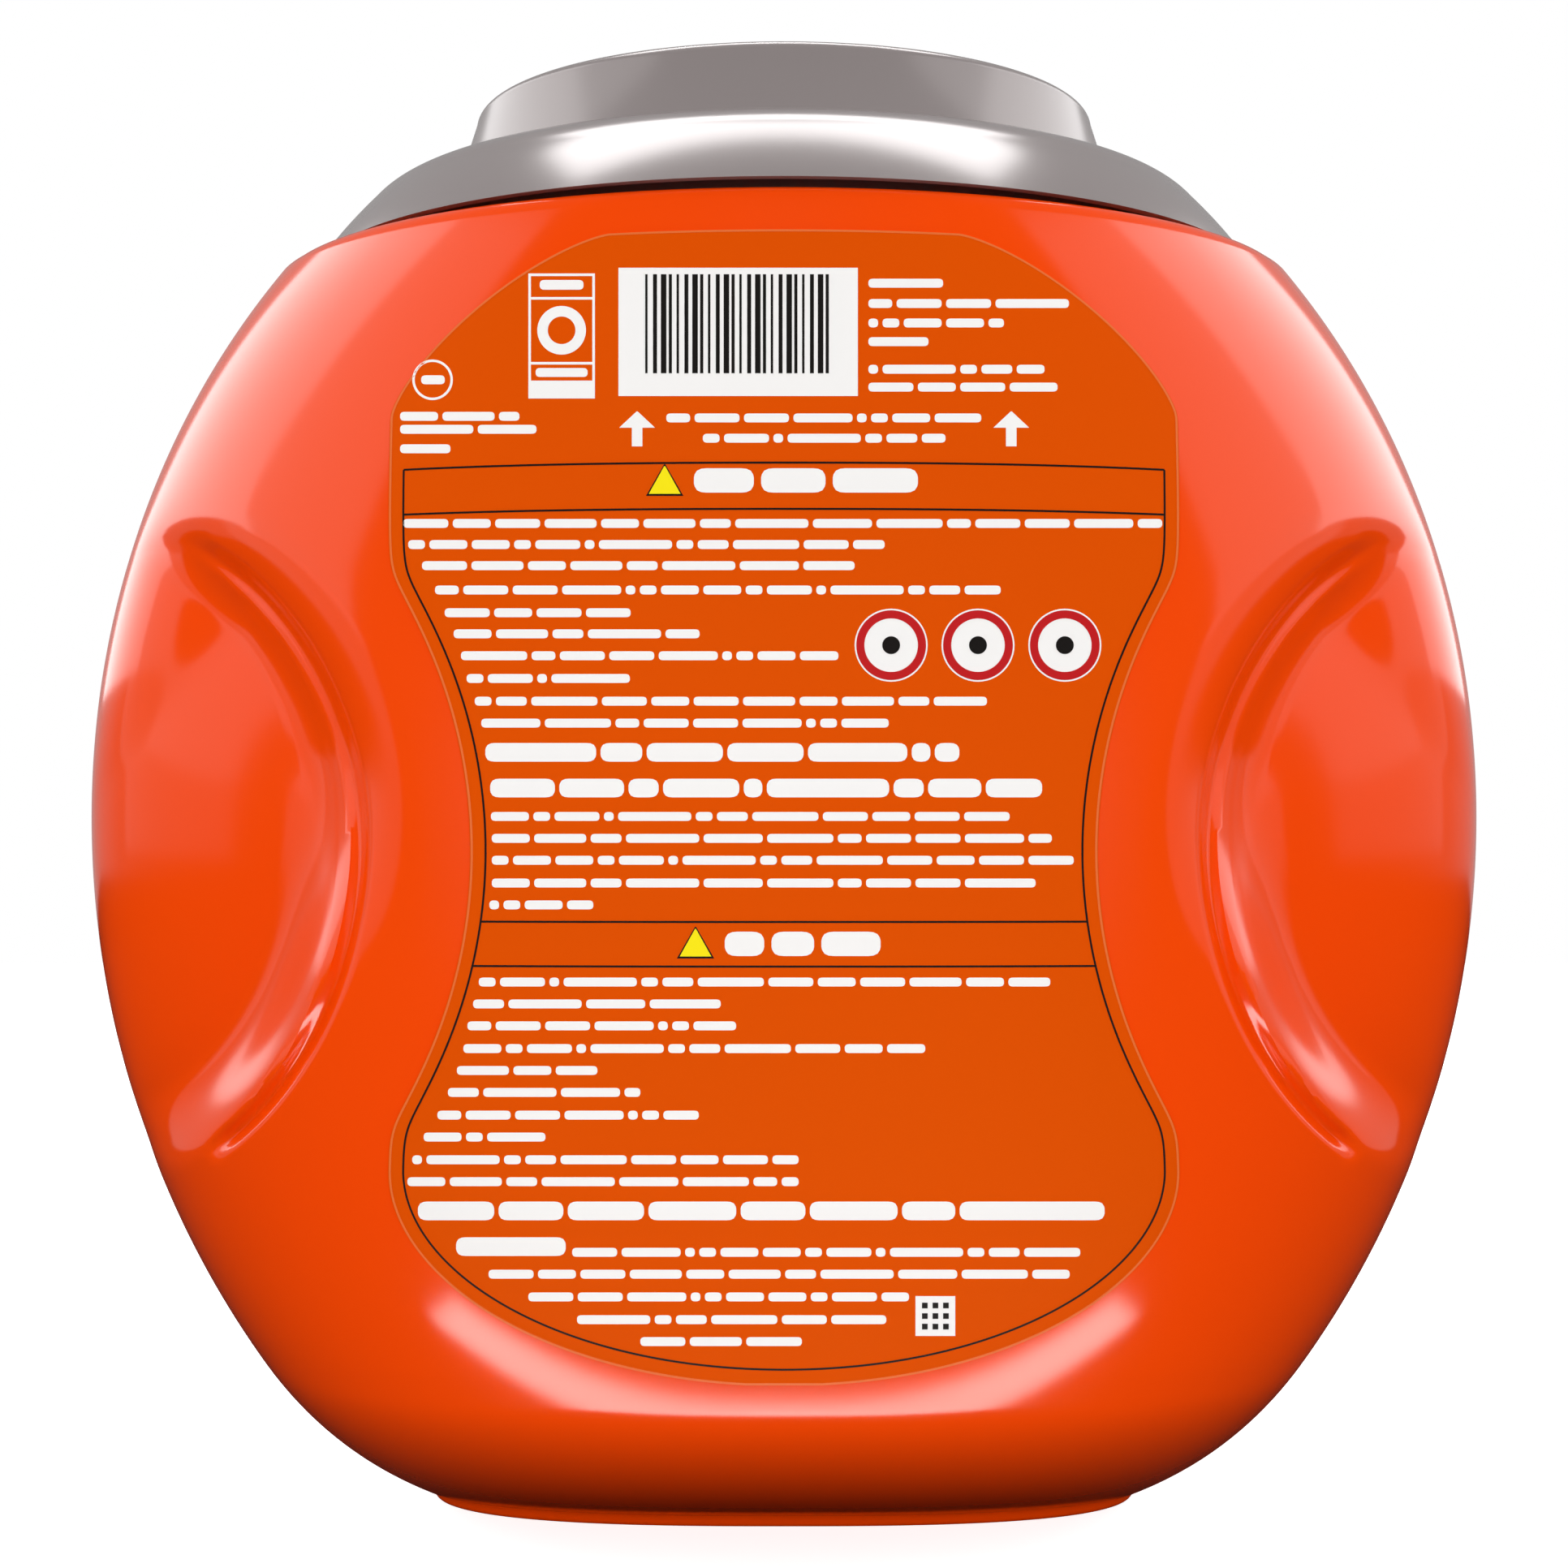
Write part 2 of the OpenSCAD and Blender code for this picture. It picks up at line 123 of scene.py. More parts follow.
# The tub's skin: the solid's rules on a finer grid, with softer grips and a deeper groove
tub = {
    "width": 255.9 * mm,
    "depth": 180.88 * mm,
    "waistZ": 129 * mm,
    "ledgeZ": 228 * mm,
    "ledgeWidth": 189.6 * mm,
    "ledgeDepth": 174 * mm,
    "ledgeEdge": 1 * mm,
    "wall": 1.6 * mm,
    "power": 2.7,
    "keelZ": 31 * mm,
    "underDeg": 15,
    "baseWidth": 137.8 * mm,
    "baseDepth": 73.8 * mm,
    "footHeight": 2.6 * mm,
    "footStep": 2.6 * mm,
    "footWall": 4 * mm,
    "footRound": 1 * mm,
    "footBevel": 0.4 * mm,
    "stepIn": 0.5,  # share of the step that the corner above the foot takes
    "stepUp": 0.6,
    "pushUp": 3 * mm,
    "gripRadius": 60.4 * mm,
    "gripOut": 2 * mm,
    "gripZ": 120.8 * mm,
    "gripDepth": 15 * mm,
    "gripStep": 6.5 * mm,  # depth at the crease
    "gripRidge": 13 * mm,
    "gripRoll": 9 * mm,
    "grooveDepth": 2.8 * mm,
    "grooveWidth": 2.5 * mm,
    "grooveSoft": 0.3 * mm,
    "gripHighDeg": 64,
    "gripLowDeg": 58,
    "highFadeDeg": 38,
    "bowlWidth": 15 * mm,
    "bowlDeg": 20,  # the step turns into a bowl from here down
    "bowlFadeDeg": 45,
    "grooveFadeDeg": 6,
    "grooveHighDeg": 66,
    "grooveHighFadeDeg": 16,
    "riseEnd": 0.8,
    "ridgeSpread": 1.3,  # columns crowd towards the crease
    "floorSpread": 1.35,
    "keelSpread": 1.4,
    "sharpDeg": 50,
    "faceCols": 16,
    "ridgeCols": 18,
    "floorCols": 44,
    "keelRows": 30,
    "outerRows": 150,
    "innerRows": 44,
}


def halfWidth(z):
    # two quarter ellipses that meet at the widest level
    up = z > tub["waistZ"]
    endWidth = np.where(up, tub["ledgeWidth"], tub["baseWidth"])
    reach = np.where(up, tub["ledgeZ"] - tub["waistZ"], tub["waistZ"] - tub["footHeight"])
    loss = 1 - (endWidth / tub["width"]) ** 2
    return tub["width"] / 2 * np.sqrt(1 - loss * ((z - tub["waistZ"]) / reach) ** 2)


def faceDepth(z):
    # a parabola from the waist to the ledge
    bow = (tub["depth"] - tub["ledgeDepth"]) / 2
    return tub["depth"] / 2 - bow * ((z - tub["waistZ"]) / (tub["ledgeZ"] - tub["waistZ"])) ** 2


def halfDepth(z):
    # below the keel a parabola leaves the foot at underDeg and meets the face upright
    keelDepth = faceDepth(tub["keelZ"])
    run = keelDepth - tub["baseDepth"] / 2
    rise = run * np.tan(np.radians(tub["underDeg"]))
    bend = tub["keelZ"] - tub["footHeight"] - 2 * rise
    drop = np.clip(z - tub["footHeight"], 0, None)
    t = 2 * drop / (2 * rise + np.sqrt(4 * rise * rise + 4 * bend * drop))
    return np.where(z >= tub["keelZ"], faceDepth(z), keelDepth - run * (1 - np.clip(t, 0, 1)) ** 2)


def planPower(z):
    # squareness falls to a plain ellipse at the ledge
    return 2 + (tub["power"] - 2) * (1 - np.clip(z / tub["ledgeZ"], 0, 1) ** 4)


def creaseAt(z, off):
    # half a circle seen from the face, held level past its ends
    radius = tub["gripRadius"] + off
    low = tub["gripZ"] - radius * np.sin(np.radians(tub["gripLowDeg"]))
    high = tub["gripZ"] + radius * np.sin(np.radians(tub["gripHighDeg"]))
    level = np.clip(z, low, high)
    return level, tub["width"] / 2 + tub["gripOut"] - np.sqrt(radius ** 2 - (level - tub["gripZ"]) ** 2)


def gripDepth(x, z, way, off):
    # upper part: a cubic ridge down to the crease and a quarter sine wave on to the floor;
    # lower part: an eased bowl that starts flush at the crease; a groove along the crease.
    # way is 0 at the crease and 1 at the side; the floor has risen again at riseEnd
    inward = tub["width"] / 2 + tub["gripOut"] - x
    up = z - tub["gripZ"]
    radius = tub["gripRadius"] + off
    u = radius - np.hypot(inward, up)
    angle = np.degrees(np.arctan2(up, inward))
    ridge = tub["gripStep"] * np.clip(1 + u / tub["gripRidge"], 0, 1) ** 3
    roll = (tub["gripDepth"] - tub["gripStep"]) * np.sin(np.pi / 2 * np.clip(u / tub["gripRoll"], 0, 1))
    bowl = tub["gripDepth"] * ease(u / tub["bowlWidth"])
    share = ease((tub["bowlDeg"] - angle) / tub["bowlFadeDeg"])
    groove = tub["grooveDepth"] * ease(1 - np.hypot(u, tub["grooveSoft"]) / tub["grooveWidth"])
    lowEnd = ease((angle + tub["gripLowDeg"]) / tub["grooveFadeDeg"])
    highEnd = ease((tub["grooveHighDeg"] - angle) / tub["grooveHighFadeDeg"])
    high = ease((tub["gripHighDeg"] + tub["highFadeDeg"] / 2 - angle) / tub["highFadeDeg"])
    rise = ease((tub["riseEnd"] - way) / tub["riseEnd"])
    return high * rise * ((1 - share) * (ridge + roll) + share * bowl + lowEnd * highEnd * groove)


def turnAt(x, z, off):
    return np.arcsin(np.clip(x / (halfWidth(z) - off), 0, 0.97) ** (planPower(z) / 2))


def quarterTurns(z, off):
    # turn angles of a quarter's columns, one of which follows the crease
    level, x = creaseAt(z, off)
    first = turnAt(x - tub["gripRidge"], level, off)
    crease = turnAt(x, level, off)
    across = first * np.linspace(0, 1, tub["faceCols"] + 1)
    k = np.arange(1, tub["ridgeCols"] + 1) / tub["ridgeCols"]
    ridge = turnAt(x - tub["gripRidge"] * (1 - k) ** tub["ridgeSpread"], level, off)
    share = np.arange(1, tub["floorCols"] + 1) / tub["floorCols"]
    floor = crease + (np.pi / 2 - crease) * share ** tub["floorSpread"]
    return np.concatenate([across, ridge, floor])


def quarterPoints(z, off):
    turns = quarterTurns(z, off)
    n = planPower(z)
    crease = turns[tub["faceCols"] + tub["ridgeCols"]]
    x = (halfWidth(z) - off) * np.sin(turns) ** (2 / n)
    y = (halfDepth(z) - off) * np.clip(np.cos(turns), 0, None) ** (2 / n)
    way = np.clip((turns - crease) / (np.pi / 2 - crease), 0, 1)
    return np.stack([x, y - gripDepth(x, z, way, off)], axis=-1)


def wholeRing(q, z):
    # four mirrored quarters, counter-clockwise from the middle of the back face
    ahead = q[:-1]
    back = q[:0:-1]
    flat = np.concatenate([ahead * [1, -1], back, ahead * [-1, 1], -back])
    return np.column_stack([flat, np.full(len(flat), z)])


def bodyRing(z, off):
    return wholeRing(quarterPoints(z, off), z)


def baseRing(inset, share, z):
    return wholeRing(quarterPoints(tub["footHeight"], inset) * share, z)


def roundedRing(z, inset, radius, deg):
    # a ring on the rounding of the ledge's outer edge, deg above level
    a = np.radians(deg)
    q = quarterPoints(tub["ledgeZ"], inset + radius * (1 - np.cos(a)))
    return wholeRing(q, z - radius * (1 - np.sin(a)))


neck = {
    "radius": 71.5 * mm,
    "wall": 2.5 * mm,
    "height": 8.2 * mm,
    "round": 0.5 * mm,
    "fillet": 0.6 * mm,
    "plainLow": 0.9 * mm,
    "starts": 6,
    "lead": 24 * mm,
    "lugDepth": 1.6 * mm,
    "lugHeight": 1.5 * mm,
    "lugLow": 3.35 * mm,  # above the ledge, at the low end of a lug
    "lugDeg": 36,
    "lugSoft": 0.25 * mm,
    "lugSoftDeg": 1.5,
    "rows": 28,
}


def circleRing(radius, z):
    turns = quarterTurns(tub["ledgeZ"], 0)
    return wholeRing(np.stack([radius * np.sin(turns), radius * np.cos(turns)], axis=-1), z)


def neckRings():
    # the neck's outer wall with its thread lugs as smooth swells of the radius, then the bore
    ledge = tub["ledgeZ"]
    fillet = neck["fillet"]
    rings = [circleRing(neck["radius"] + fillet, ledge), circleRing(neck["radius"], ledge + fillet)]
    for h in np.linspace(neck["plainLow"], neck["height"] - neck["round"], neck["rows"]):
        ring = circleRing(neck["radius"], ledge + h)
        angle = np.degrees(np.arctan2(ring[:, 1], ring[:, 0])) % (360 / neck["starts"])
        rise = h - neck["lugLow"] - neck["lead"] * angle / 360
        across = ease(rise / neck["lugSoft"]) * ease((neck["lugHeight"] - rise) / neck["lugSoft"])
        along = ease(angle / neck["lugSoftDeg"]) * ease((neck["lugDeg"] - angle) / neck["lugSoftDeg"])
        ring[:, :2] *= 1 + (neck["lugDepth"] / neck["radius"] * across * along)[:, None]
        rings.append(ring)
    top = ledge + neck["height"]
    bore = neck["radius"] - neck["wall"]
    rings.append(circleRing(neck["radius"] - neck["round"], top))
    rings.append(circleRing(bore + neck["round"], top))
    rings.append(circleRing(bore, top - neck["round"]))
    rings.append(circleRing(bore, ledge - tub["wall"]))
    return rings


def tubRings():
    # from the middle of the base out over the foot, up the outside, over the neck and down inside
    foot = tub["footHeight"]
    bevel = tub["footBevel"]
    footIn = tub["footStep"] + tub["footWall"]
    rings = [baseRing(footIn, s, foot + tub["pushUp"] * (1 - s * s)) for s in np.linspace(0.05, 1, 16)]
    rings.append(baseRing(footIn, 1, bevel))
    rings.append(baseRing(footIn - bevel, 1, 0))
    for deg in np.linspace(0, 90, 7):
        a = np.radians(deg)
        inset = tub["footStep"] + tub["footRound"] * (1 - np.sin(a))
        rings.append(baseRing(inset, 1, tub["footRound"] * (1 - np.cos(a))))
    for s in np.linspace(0, 1, 6)[1:]:
        a = s * np.pi / 2
        rings.append(baseRing(tub["footStep"] * (1 - tub["stepIn"] * (1 - np.cos(a))), 1,
                              foot - tub["footRound"] * tub["stepUp"] * (1 - np.sin(a))))
    for s in np.linspace(0, 1, tub["keelRows"] + 1)[1:]:
        rings.append(bodyRing(foot + (tub["keelZ"] - foot) * s ** tub["keelSpread"], 0))
    last = tub["ledgeZ"] - tub["ledgeEdge"]
    for z in np.linspace(tub["keelZ"], last, tub["outerRows"] + 1)[1:]:
        rings.append(bodyRing(z, 0))
    for deg in (30, 60, 90):
        rings.append(roundedRing(tub["ledgeZ"], 0, tub["ledgeEdge"], deg))
    rings += neckRings()
    under = tub["ledgeZ"] - tub["wall"]
    for z in np.linspace(under, foot + tub["wall"], tub["innerRows"]):
        rings.append(bodyRing(z, tub["wall"]))
    for s in (0.8, 0.5, 0.05):
        rings.append(baseRing(tub["wall"], s, foot + tub["wall"] + tub["pushUp"] * (1 - s * s)))
    return rings


# Materials

def newNode(tree, kind, **values):
    node = tree.nodes.new(kind)
    for key, value in values.items():
        setattr(node, key, value)
    return node


mottling = {"broadScale": 14, "broadDetail": 3, "fineDetail": 2, "height": 0.02 * mm}
sockets = {
    "INPUT": {"Color": "Color", "Roughness": "Float", "Grain": "Float", "Mottle": "Float"},
    "OUTPUT": {"Color": "Color", "Roughness": "Float", "Height": "Float"},
}


def mouldedPlasticGroup():
    # fine mottling of a moulded surface: a shade, a roughness and a height that vary over it
    group = bpy.data.node_groups.new("mouldedPlastic", "ShaderNodeTree")
    for side, names in sockets.items():
        for name, kind in names.items():
            group.interface.new_socket(name, in_out=side, socket_type="NodeSocket" + kind)
    start = newNode(group, "NodeGroupInput")
    end = newNode(group, "NodeGroupOutput")
    place = newNode(group, "ShaderNodeTexCoord")
    broad = newNode(group, "ShaderNodeTexNoise")
    broad.inputs["Scale"].default_value = mottling["broadScale"]
    broad.inputs["Detail"].default_value = mottling["broadDetail"]
    fine = newNode(group, "ShaderNodeTexNoise")
    fine.inputs["Detail"].default_value = mottling["fineDetail"]
    centred = newNode(group, "ShaderNodeMath", operation="SUBTRACT")
    centred.inputs[1].default_value = 0.5
    amount = newNode(group, "ShaderNodeMath", operation="MULTIPLY")
    value = newNode(group, "ShaderNodeMath", operation="ADD")
    value.inputs[1].default_value = 1.0
    shade = newNode(group, "ShaderNodeHueSaturation")
    rough = newNode(group, "ShaderNodeMath", operation="MULTIPLY")
    link = group.links.new
    link(place.outputs["Object"], broad.inputs["Vector"])
    link(place.outputs["Object"], fine.inputs["Vector"])
    link(start.outputs["Grain"], fine.inputs["Scale"])
    link(broad.outputs["Fac"], centred.inputs[0])
    link(centred.outputs[0], amount.inputs[0])
    link(start.outputs["Mottle"], amount.inputs[1])
    link(amount.outputs[0], value.inputs[0])
    link(value.outputs[0], shade.inputs["Value"])
    link(start.outputs["Color"], shade.inputs["Color"])
    link(start.outputs["Roughness"], rough.inputs[0])
    link(value.outputs[0], rough.inputs[1])
    link(shade.outputs["Color"], end.inputs["Color"])
    link(rough.outputs[0], end.inputs["Roughness"])
    link(fine.outputs["Fac"], end.inputs["Height"])
    return group


mouldedPlastic = mouldedPlasticGroup()


def srgb(r, g, b):
    # a colour as seen on a screen, from 0 to 255, as linear light
    c = np.array([r, g, b]) / 255
    c = np.where(c <= 0.04045, c / 12.92, ((c + 0.055) / 1.055) ** 2.4)
    return (*c.tolist(), 1.0)


def plasticMaterial(name, look):
    material = bpy.data.materials.new(name)
    material.use_nodes = True
    tree = material.node_tree
    shader = tree.nodes["Principled BSDF"]
    group = newNode(tree, "ShaderNodeGroup")
    group.node_tree = mouldedPlastic
    for socket in sockets["INPUT"]:
        group.inputs[socket].default_value = look[socket.lower()]
    bump = newNode(tree, "ShaderNodeBump")
    bump.inputs["Strength"].default_value = look["bump"]
    bump.inputs["Distance"].default_value = mottling["height"]
    shader.inputs["Metallic"].default_value = look.get("metallic", 0)
    shader.inputs["Specular IOR Level"].default_value = look.get("specular", 0.5)
    tree.links.new(group.outputs["Color"], shader.inputs["Base Color"])
    tree.links.new(group.outputs["Roughness"], shader.inputs["Roughness"])
    tree.links.new(group.outputs["Height"], bump.inputs["Height"])
    tree.links.new(bump.outputs["Normal"], shader.inputs["Normal"])
    return material


inkLook = {"roughness": 0.5, "grain": 1500, "mottle": 0.02, "bump": 0.05, "specular": 0.15}
looks = {
    "orangeTub": {"color": srgb(253, 74, 0), "roughness": 0.13, "grain": 900, "mottle": 0.05,
                  "bump": 0.1},
    "labelFilm": {"color": srgb(227, 82, 0), "roughness": 0.5, "grain": 1500, "mottle": 0.03,
                  "bump": 0.08, "specular": 0.02},
    "labelEdge": {"color": srgb(236, 112, 48), "roughness": 0.4, "grain": 1500, "mottle": 0.03,
                  "bump": 0.05, "specular": 0.2},
    "silverLid": {"color": srgb(151, 142, 141), "roughness": 0.2, "grain": 1400, "mottle": 0.04,
                  "bump": 0.08, "metallic": 0.12, "specular": 0.55},
    "innerPlastic": {"color": srgb(226, 225, 220), "roughness": 0.45, "grain": 700, "mottle": 0.05,
                     "bump": 0.15},
    "sealFoam": {"color": srgb(238, 238, 232), "roughness": 0.8, "grain": 2500, "mottle": 0.08,
                 "bump": 0.5, "specular": 0.2},
    "whiteInk": {"color": srgb(252, 250, 248), **inkLook},
    "blackInk": {"color": srgb(26, 22, 20), **inkLook},
    "redInk": {"color": srgb(196, 18, 22), **inkLook},
    "yellowInk": {"color": srgb(255, 236, 0), **inkLook},
}
materials = {name: plasticMaterial(name, look) for name, look in looks.items()}
print("materials made:", len(materials))

tubVerts, tubFaces = closedLoft(tubRings())
tubSkin = makeMesh("tubSkin", tubVerts, tubFaces, materials["orangeTub"], "tub_body",
                   sharpDeg=tub["sharpDeg"])
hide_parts("tub")
print("tub skin made with", len(tubFaces), "faces")


# Label: a film that follows the plain back face
label = {
    "width": 129 * mm,
    "waistWidth": 101 * mm,
    "low": 35.2 * mm,
    "top": 220.6 * mm,
    "topWidth": 57 * mm,
    "waistZ": 121 * mm,
    "waistRadius": 79 * mm,
    "soft": 2.2 * mm,
    "shoulderZ": 192 * mm,
    "hipZ": 69 * mm,
    "corner": 1.4,  # power of the rounded top corners
    "firstTurn": 0.02,
    "thickness": 0.2 * mm,
    "film": 0.1 * mm,
    "rows": 150,
    "cols": 60,
    "inkGap": 0.02 * mm,
    "ink": 0.03 * mm,
}


def labelHalf(z):
    # straight sides cut in by arcs beside the grips, rounded top, half an ellipse at the bottom
    half = label["width"] / 2
    cut = half - label["waistWidth"] / 2
    radius = label["waistRadius"]
    mid = np.clip(z - label["waistZ"], -radius, radius)
    over = cut - radius + np.sqrt(radius ** 2 - mid ** 2)
    side = half - (over + np.hypot(over, label["soft"])) / 2
    up = np.clip((z - label["shoulderZ"]) / (label["top"] - label["shoulderZ"]), 0, 1)
    down = np.clip((label["hipZ"] - z) / (label["hipZ"] - label["low"]), 0, 1)
    topHalf = label["topWidth"] / 2
    top = topHalf + (side - topHalf) * (1 - up ** label["corner"]) ** (1 / label["corner"])
    return np.where(up > 0, top, side * np.sqrt(1 - down ** 2))


def faceAt(x, z):
    # depth of the plain face in front of the middle plane, by the superellipse of its level
    n = planPower(z)
    return halfDepth(z) * (1 - (np.abs(x) / halfWidth(z)) ** n) ** (1 / n)


def onFace(x, z, out):
    return np.stack([x, -faceAt(x, z) - out, z], axis=-1)


def facePatch(x, z, low, thick):
    # a closed film over a grid of face points, low above the face
    front = onFace(x, z, low + thick)
    back = onFace(x, z, np.full_like(x, low))
    rows, cols = x.shape
    verts = np.concatenate([front.reshape(-1, 3), back.reshape(-1, 3)])
    top = gridFaces(rows, cols, False)
    bottom = top[:, ::-1] + rows * cols
    index = np.arange(rows * cols).reshape(rows, cols)
    loop = np.concatenate([index[0, :-1], index[:-1, -1], index[-1, :0:-1], index[:0:-1, 0]])
    after = np.roll(loop, -1)
    side = np.stack([after, loop, loop + rows * cols, after + rows * cols], axis=-1)
    return verts, np.concatenate([top, bottom, side])


def makeLabel():
    reach = label["top"] - label["low"]
    turn = np.linspace(label["firstTurn"], np.pi, label["rows"])
    z = (label["low"] + reach * (1 - np.cos(turn)) / 2)[:, None]
    across = np.linspace(-1, 1, label["cols"])[None, :]
    x = labelHalf(z) * across
    verts, faces = facePatch(x, np.broadcast_to(z, x.shape), label["film"], label["thickness"])
    piece = makeMesh("backLabel", verts, faces, materials["labelFilm"], "tub_body")
    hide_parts("back_label")


makeLabel()
print("label made")

# Print on the label: plain bars, boxes, rings and arrows, each a thin film of ink on the face.
# Their places are pixels of the photograph, carried along the camera's rays to the label.
bars = {
    "endShare": np.array([0.0, 0.06, 0.25, 0.6, 1.0]),  # columns of a bar's round end
    "endHeight": np.array([0.25, 0.5, 0.8, 0.96, 1.0]),
    "smallHeight": 11,
    "largeHeight": 23,
    "smallLetter": 8.7,
    "largeLetter": 14.2,
    "wordGap": 5.5,
    "chord": 12,  # longest step along a film, in pixels, so that it follows the face
    "riseChord": 36,
    "tip": 0.03,  # blunt tip of a triangle, as a share of its base
}
smallRows = [  # height in the picture, left end, right end
    (349, 1070, 1162), (374, 1070, 1317), (398, 1070, 1237), (421, 1070, 1144),
    (455, 1070, 1287), (477, 1070, 1303), (513, 493, 640), (529, 493, 661), (553, 493, 555),
    (515, 821, 1209), (540, 866, 1165), (645, 497, 1432), (671, 503, 1090), (697, 520, 1053),
    (727, 536, 1233), (755, 548, 777), (781, 559, 862), (808, 568, 1033), (836, 575, 776),
    (864, 585, 1216), (891, 593, 1095), (1006, 605, 1244), (1033, 606, 1296),
    (1060, 606, 1323), (1088, 606, 1276), (1115, 603, 731), (1210, 590, 1294),
    (1237, 583, 888), (1264, 576, 907), (1292, 571, 1140), (1319, 563, 736), (1346, 552, 789),
    (1374, 539, 861), (1401, 522, 672), (1429, 508, 984), (1456, 502, 984), (1543, 705, 1331),
    (1570, 602, 1318), (1598, 651, 1120), (1626, 711, 1092), (1653, 789, 988),
]
largeRows = [(927, 598, 1182), (971, 604, 1284), (1492, 515, 1361), (1536, 562, 697)]
inkLow = label["film"] + label["thickness"] + label["inkGap"]


def toFace(px, py):
    # the point of the print on the ray through a pixel, found by repetition
    depth = np.full(np.shape(px), view["distance"] - tub["depth"] / 2)
    for _ in range(4):
        x = (px - view["middlePx"]) / view["focalPx"] * depth
        z = view["height"] + (view["horizonPx"] - py) / view["focalPx"] * depth
        depth = view["distance"] - faceAt(x, z) - inkLow
    return x, z


def levelAt(py):
    return toFace(view["middlePx"], py)[1]


def inkLevel(layer):
    return inkLow + layer * (label["ink"] + label["inkGap"])


class Ink:
    # a growing film of one colour: patches of points and faces, made one piece at the end
    def __init__(self, name, material):
        self.name = name
        self.material = material
        self.verts = []
        self.faces = []
        self.count = 0

    def add(self, verts, faces):
        self.verts.append(verts)
        self.faces += [[int(i) + self.count for i in f] for f in faces]
        self.count += len(verts)

    def patch(self, px, py, layer=0):
        px, py = np.broadcast_arrays(np.asarray(px, float), np.asarray(py, float))
        x, z = toFace(px, py)
        self.add(*facePatch(x, z, inkLevel(layer), label["ink"]))

    def box(self, x0, x1, y0, y1, layer=0):
        cols = 2 + int((x1 - x0) / bars["chord"])
        rows = 2 + int((y1 - y0) / bars["riseChord"])
        self.patch(np.linspace(x0, x1, cols)[None, :], np.linspace(y1, y0, rows)[:, None], layer)

    def bar(self, x0, x1, y, height, layer=0):
        # a bar with round ends: its half height follows a quarter circle at each end
        end = min(height / 2, (x1 - x0) / 2.2)
        left = x0 + end * bars["endShare"]
        count = int((x1 - x0 - 2 * end) / bars["chord"])
        middle = np.linspace(x0 + end, x1 - end, count + 2)[1:-1]
        px = np.concatenate([left, middle, (x0 + x1 - left)[::-1]])
        half = height / 2 * np.concatenate([bars["endHeight"], np.ones(count), bars["endHeight"][::-1]])
        self.patch(px[None, :], y + half[None, :] * np.array([1, -1])[:, None], layer)

    def triangle(self, px, base, half, height, layer=0):
        # rows that narrow to a blunt tip
        up = np.linspace(0, 1, 6)[:, None]
        reach = half * (1 - (1 - bars["tip"]) * up)
        self.patch(px + reach * np.linspace(-1, 1, 5)[None, :], base - height * up, layer)

    def ring(self, px, py, inner, outer, layer=0, cols=64):
        # a closed band between two circles, its four edges turned about the middle
        a = np.linspace(0, 2 * np.pi, cols, endpoint=False)
        rings = []
        for radius, out in ((inner, 0), (outer, 0), (outer, label["ink"]), (inner, label["ink"])):
            x, z = toFace(px + radius * np.cos(a), py - radius * np.sin(a))
            rings.append(onFace(x, z, inkLevel(layer) + out))
        self.add(np.concatenate(rings), gridFaces(5, cols, True)[:, ::-1] % (4 * cols))

    def disc(self, px, py, radius, layer=0, cols=48):
        # a closed disc: rings out along its back and in along its front
        a = np.linspace(0, 2 * np.pi, cols, endpoint=False)
        rings = []
        for share, out in ((0.1, 0), (0.5, 0), (1, 0), (1, 1), (0.5, 1), (0.1, 1)):
            x, z = toFace(px + share * radius * np.cos(a), py - share * radius * np.sin(a))
            rings.append(onFace(x, z, inkLevel(layer) + out * label["ink"]))
        verts, faces = closedLoft(rings)
        self.add(verts, [f[::-1] for f in faces])

    def finish(self):
        makeMesh(self.name, np.concatenate(self.verts), self.faces, materials[self.material],
                 "tub_body", smooth=False)


words = {"seed": 7, "times": 37, "plus": 11, "cycle": 101, "shortest": 2, "lengths": 10}


def wordBars(ink, rows, height, letter):
    # each row is cut into words of 2 to 11 letters, by a number that steps on in a fixed way
    seed = words["seed"]
    for y, x0, x1 in rows:
        x = x0
        while x < x1 - letter:
            seed = (seed * words["times"] + words["plus"]) % words["cycle"]
            end = min(x + letter * (words["shortest"] + seed % words["lengths"]), x1)
            if x1 - end < words["shortest"] * letter:
                end = x1
            ink.bar(x, end - bars["wordGap"] if end < x1 else x1, y, height)
            x = end


whiteInk = Ink("whitePrint", "whiteInk")
blackInk = Ink("blackPrint", "blackInk")
redInk = Ink("redPrint", "redInk")
yellowInk = Ink("yellowPrint", "yellowInk")
wordBars(whiteInk, smallRows, bars["smallHeight"], bars["smallLetter"])
wordBars(whiteInk, largeRows, bars["largeHeight"], bars["largeLetter"])

# Two headers between level lines, each with a few large words: left end, right end, height
header = {
    "lines": (570, 627, 1136, 1191),
    "words": ((855, 1131, 592), (893, 1085, 1163)),
    "wordHeight": 30,
    "wordParts": (0.0, 0.3, 0.62, 1.0),
    "wordGap": 9,
}


def headerWords():
    for x0, x1, y in header["words"]:
        cuts = x0 + (x1 - x0) * np.array(header["wordParts"])
        for a, b in zip(cuts[:-1], cuts[1:]):
            whiteInk.bar(a, b - header["wordGap"] if b < x1 else b, y, header["wordHeight"])


headerWords()

# The black frame: sides that follow the label's outline, a round bottom, and level lines
frameLine = {
    "inset": 2.55 * mm,
    "width": 0.33 * mm,
    "sideCols": 160,
    "cols": 80,
}


def outlineAt(z, inset):
    return labelHalf(z) - inset


